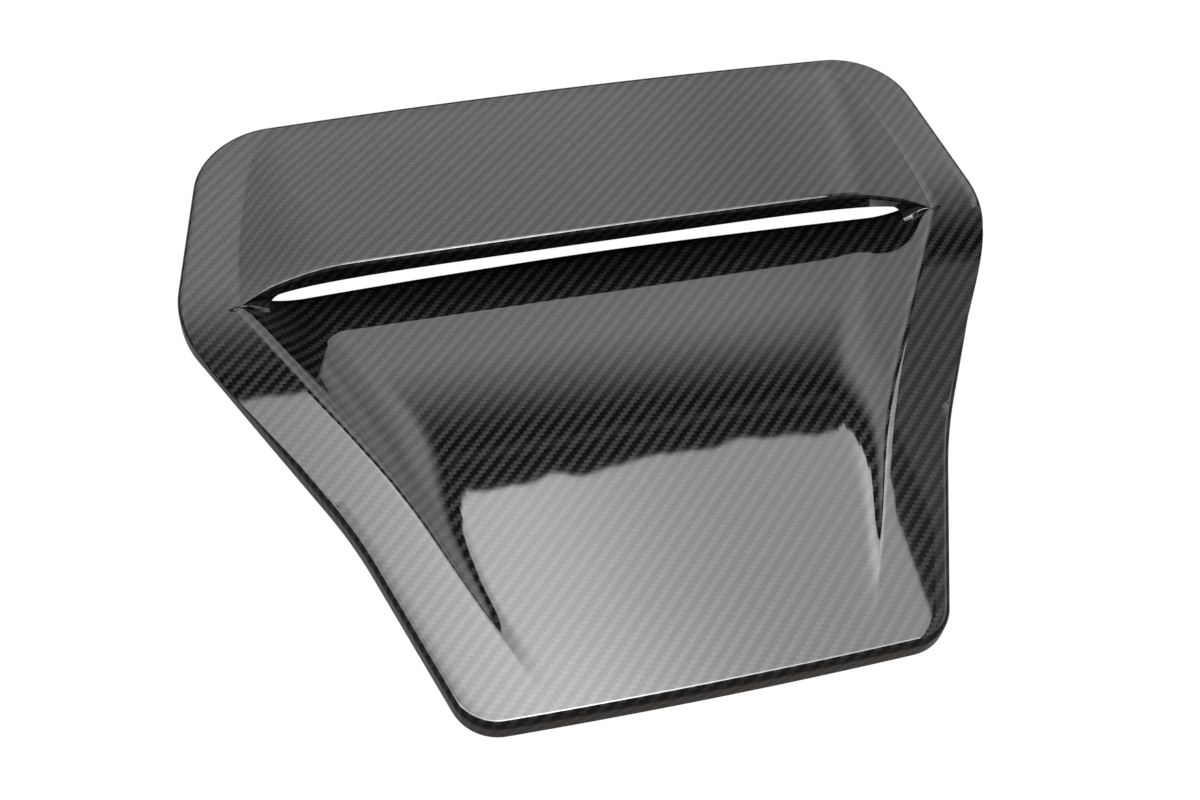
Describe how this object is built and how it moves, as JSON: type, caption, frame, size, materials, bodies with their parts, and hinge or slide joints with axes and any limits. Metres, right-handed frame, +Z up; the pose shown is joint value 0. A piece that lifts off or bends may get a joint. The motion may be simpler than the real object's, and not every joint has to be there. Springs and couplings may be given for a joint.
{
  "type": "bonnet scoop",
  "caption": "One-piece carbon fibre bonnet scoop: a flat border flange, a sunken ramp with side walls, and a raised roof with a down-turned lip over a wide air slot.",
  "frame": {"origin": "centre of the outline seen from above, on the surface that the part stands on", "axes": "+X across the scoop to its right seen from the front, +Y to the rear, from the low front edge of the ramp to the roof, +Z up out of the bonnet"},
  "size_m": [0.459, 0.3836, 0.032],
  "materials": {
    "carbon_shell": "black and grey 2x2 twill carbon fibre under a gloss clear coat"
  },
  "bodies": {
    "root": {"scoop_shell": "carbon_shell"}
  },
  "joints": []
}
